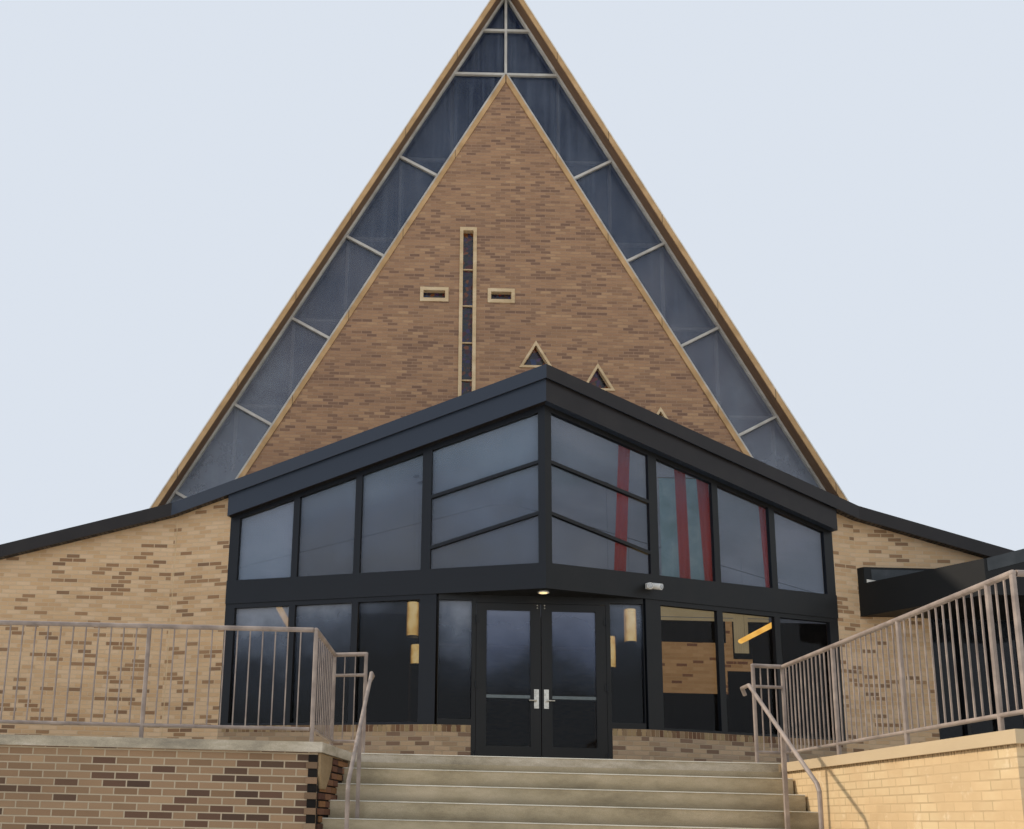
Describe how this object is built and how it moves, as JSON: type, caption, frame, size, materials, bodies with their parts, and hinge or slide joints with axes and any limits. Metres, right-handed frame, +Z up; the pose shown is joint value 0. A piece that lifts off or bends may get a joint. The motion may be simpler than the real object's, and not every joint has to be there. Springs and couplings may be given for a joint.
{
  "type": "modern A-frame church building",
  "caption": "Steep A-frame church with a brick gable, a low glazed entrance front under a wide gabled roof, side wings, and a raised terrace with a wide stair.",
  "frame": {"origin": "centre of the bounding box on the ground", "axes": "+Z up, the entrance front faces -Y, +X to the right of someone facing it; +Y runs back along the nave"},
  "size_m": [21.14, 28.078, 19.966],
  "materials": {
    "gable_brick": "matt",
    "buff_brick": "matt",
    "painted_brick": "painted, matt",
    "concrete": "rough",
    "dark_bronze": "bronze anodised",
    "tan_metal": "satin",
    "grey_metal": "satin",
    "glass": "clear",
    "cream_surround": "matt",
    "roof_shingle": "rough",
    "taupe_steel": "satin",
    "satin_nickel": "satin",
    "white_metal": "gloss"
  },
  "bodies": {
    "church": {"floor_slab": "concrete", "gable_wall_front": "gable_brick", "cross_window_stem": "cream_surround", "cross_window_arm_left": "cream_surround", "cross_window_arm_right": "cream_surround", "triangle_window_1": "cream_surround", "triangle_window_2": "cream_surround", "triangle_window_3": "cream_surround", "gable_coping": "tan_metal", "gable_glazing_bars": "grey_metal", "gable_glass": "glass", "gable_wall_rear": "gable_brick", "nave_wall_left": "buff_brick", "nave_wall_right": "buff_brick", "nave_roof_left": "roof_shingle", "nave_roof_right": "roof_shingle", "ridge_cap": "roof_shingle", "gable_board_front": "tan_metal", "gable_board_rear": "tan_metal", "front_roof": "roof_shingle", "fascia_upper": "dark_bronze", "fascia_lower": "dark_bronze", "wing_wall_left": "buff_brick", "wing_wall_right": "buff_brick", "knee_wall_left": "buff_brick", "knee_wall_right": "buff_brick", "lower_window_frame_left": "dark_bronze", "lower_glass_left": "glass", "lower_window_frame_right": "dark_bronze", "lower_glass_right": "glass", "upper_window_frame": "dark_bronze", "upper_glass": "glass", "spandrel_band": "dark_bronze", "point_soffit": "dark_bronze", "downlight": "white_metal", "entrance_frame": "dark_bronze", "side_pane_left": "glass", "side_pane_right": "glass", "retaining_wall_left": "buff_brick", "retaining_wall_right": "painted_brick", "terrace_slab": "concrete", "stair_flight": "concrete", "guard_end_left": "taupe_steel", "guard_front_left": "taupe_steel", "guard_stair_left": "taupe_steel", "guard_stair_right": "taupe_steel", "guard_front_right": "taupe_steel", "guard_end_right": "taupe_steel", "handrail_left": "taupe_steel", "handrail_right": "taupe_steel", "side_canopy": "dark_bronze", "side_window_frame": "dark_bronze", "side_glass": "glass", "floodlight": "white_metal"},
    "door_left": {"door_leaf_left": "dark_bronze", "door_glass_left": "glass"},
    "lever_left": {"door_lever_left": "satin_nickel"},
    "door_right": {"door_leaf_right": "dark_bronze", "door_glass_right": "glass"},
    "lever_right": {"door_lever_right": "satin_nickel"}
  },
  "joints": [
    {"name": "door_left_hinge", "type": "hinge", "parent": "church", "child": "door_left", "pos_m": [-0.93, -6.992, 1.99], "axis": [0, 0, -1], "range_deg": [0, 90]},
    {"name": "door_lever_left_turn", "type": "hinge", "parent": "door_left", "child": "lever_left", "pos_m": [-0.07, -6.979, 3.01], "axis": [0, -1, 0], "range_deg": [0, 45], "stiffness_Nm_per_rad": 1.5, "springref_deg": -28.65},
    {"name": "door_right_hinge", "type": "hinge", "parent": "church", "child": "door_right", "pos_m": [0.93, -6.992, 1.99], "axis": [0, 0, 1], "range_deg": [0, 90]},
    {"name": "door_lever_right_turn", "type": "hinge", "parent": "door_right", "child": "lever_right", "pos_m": [0.07, -6.979, 3.01], "axis": [0, 1, 0], "range_deg": [0, 45], "stiffness_Nm_per_rad": 1.5, "springref_deg": -28.65}
  ]
}
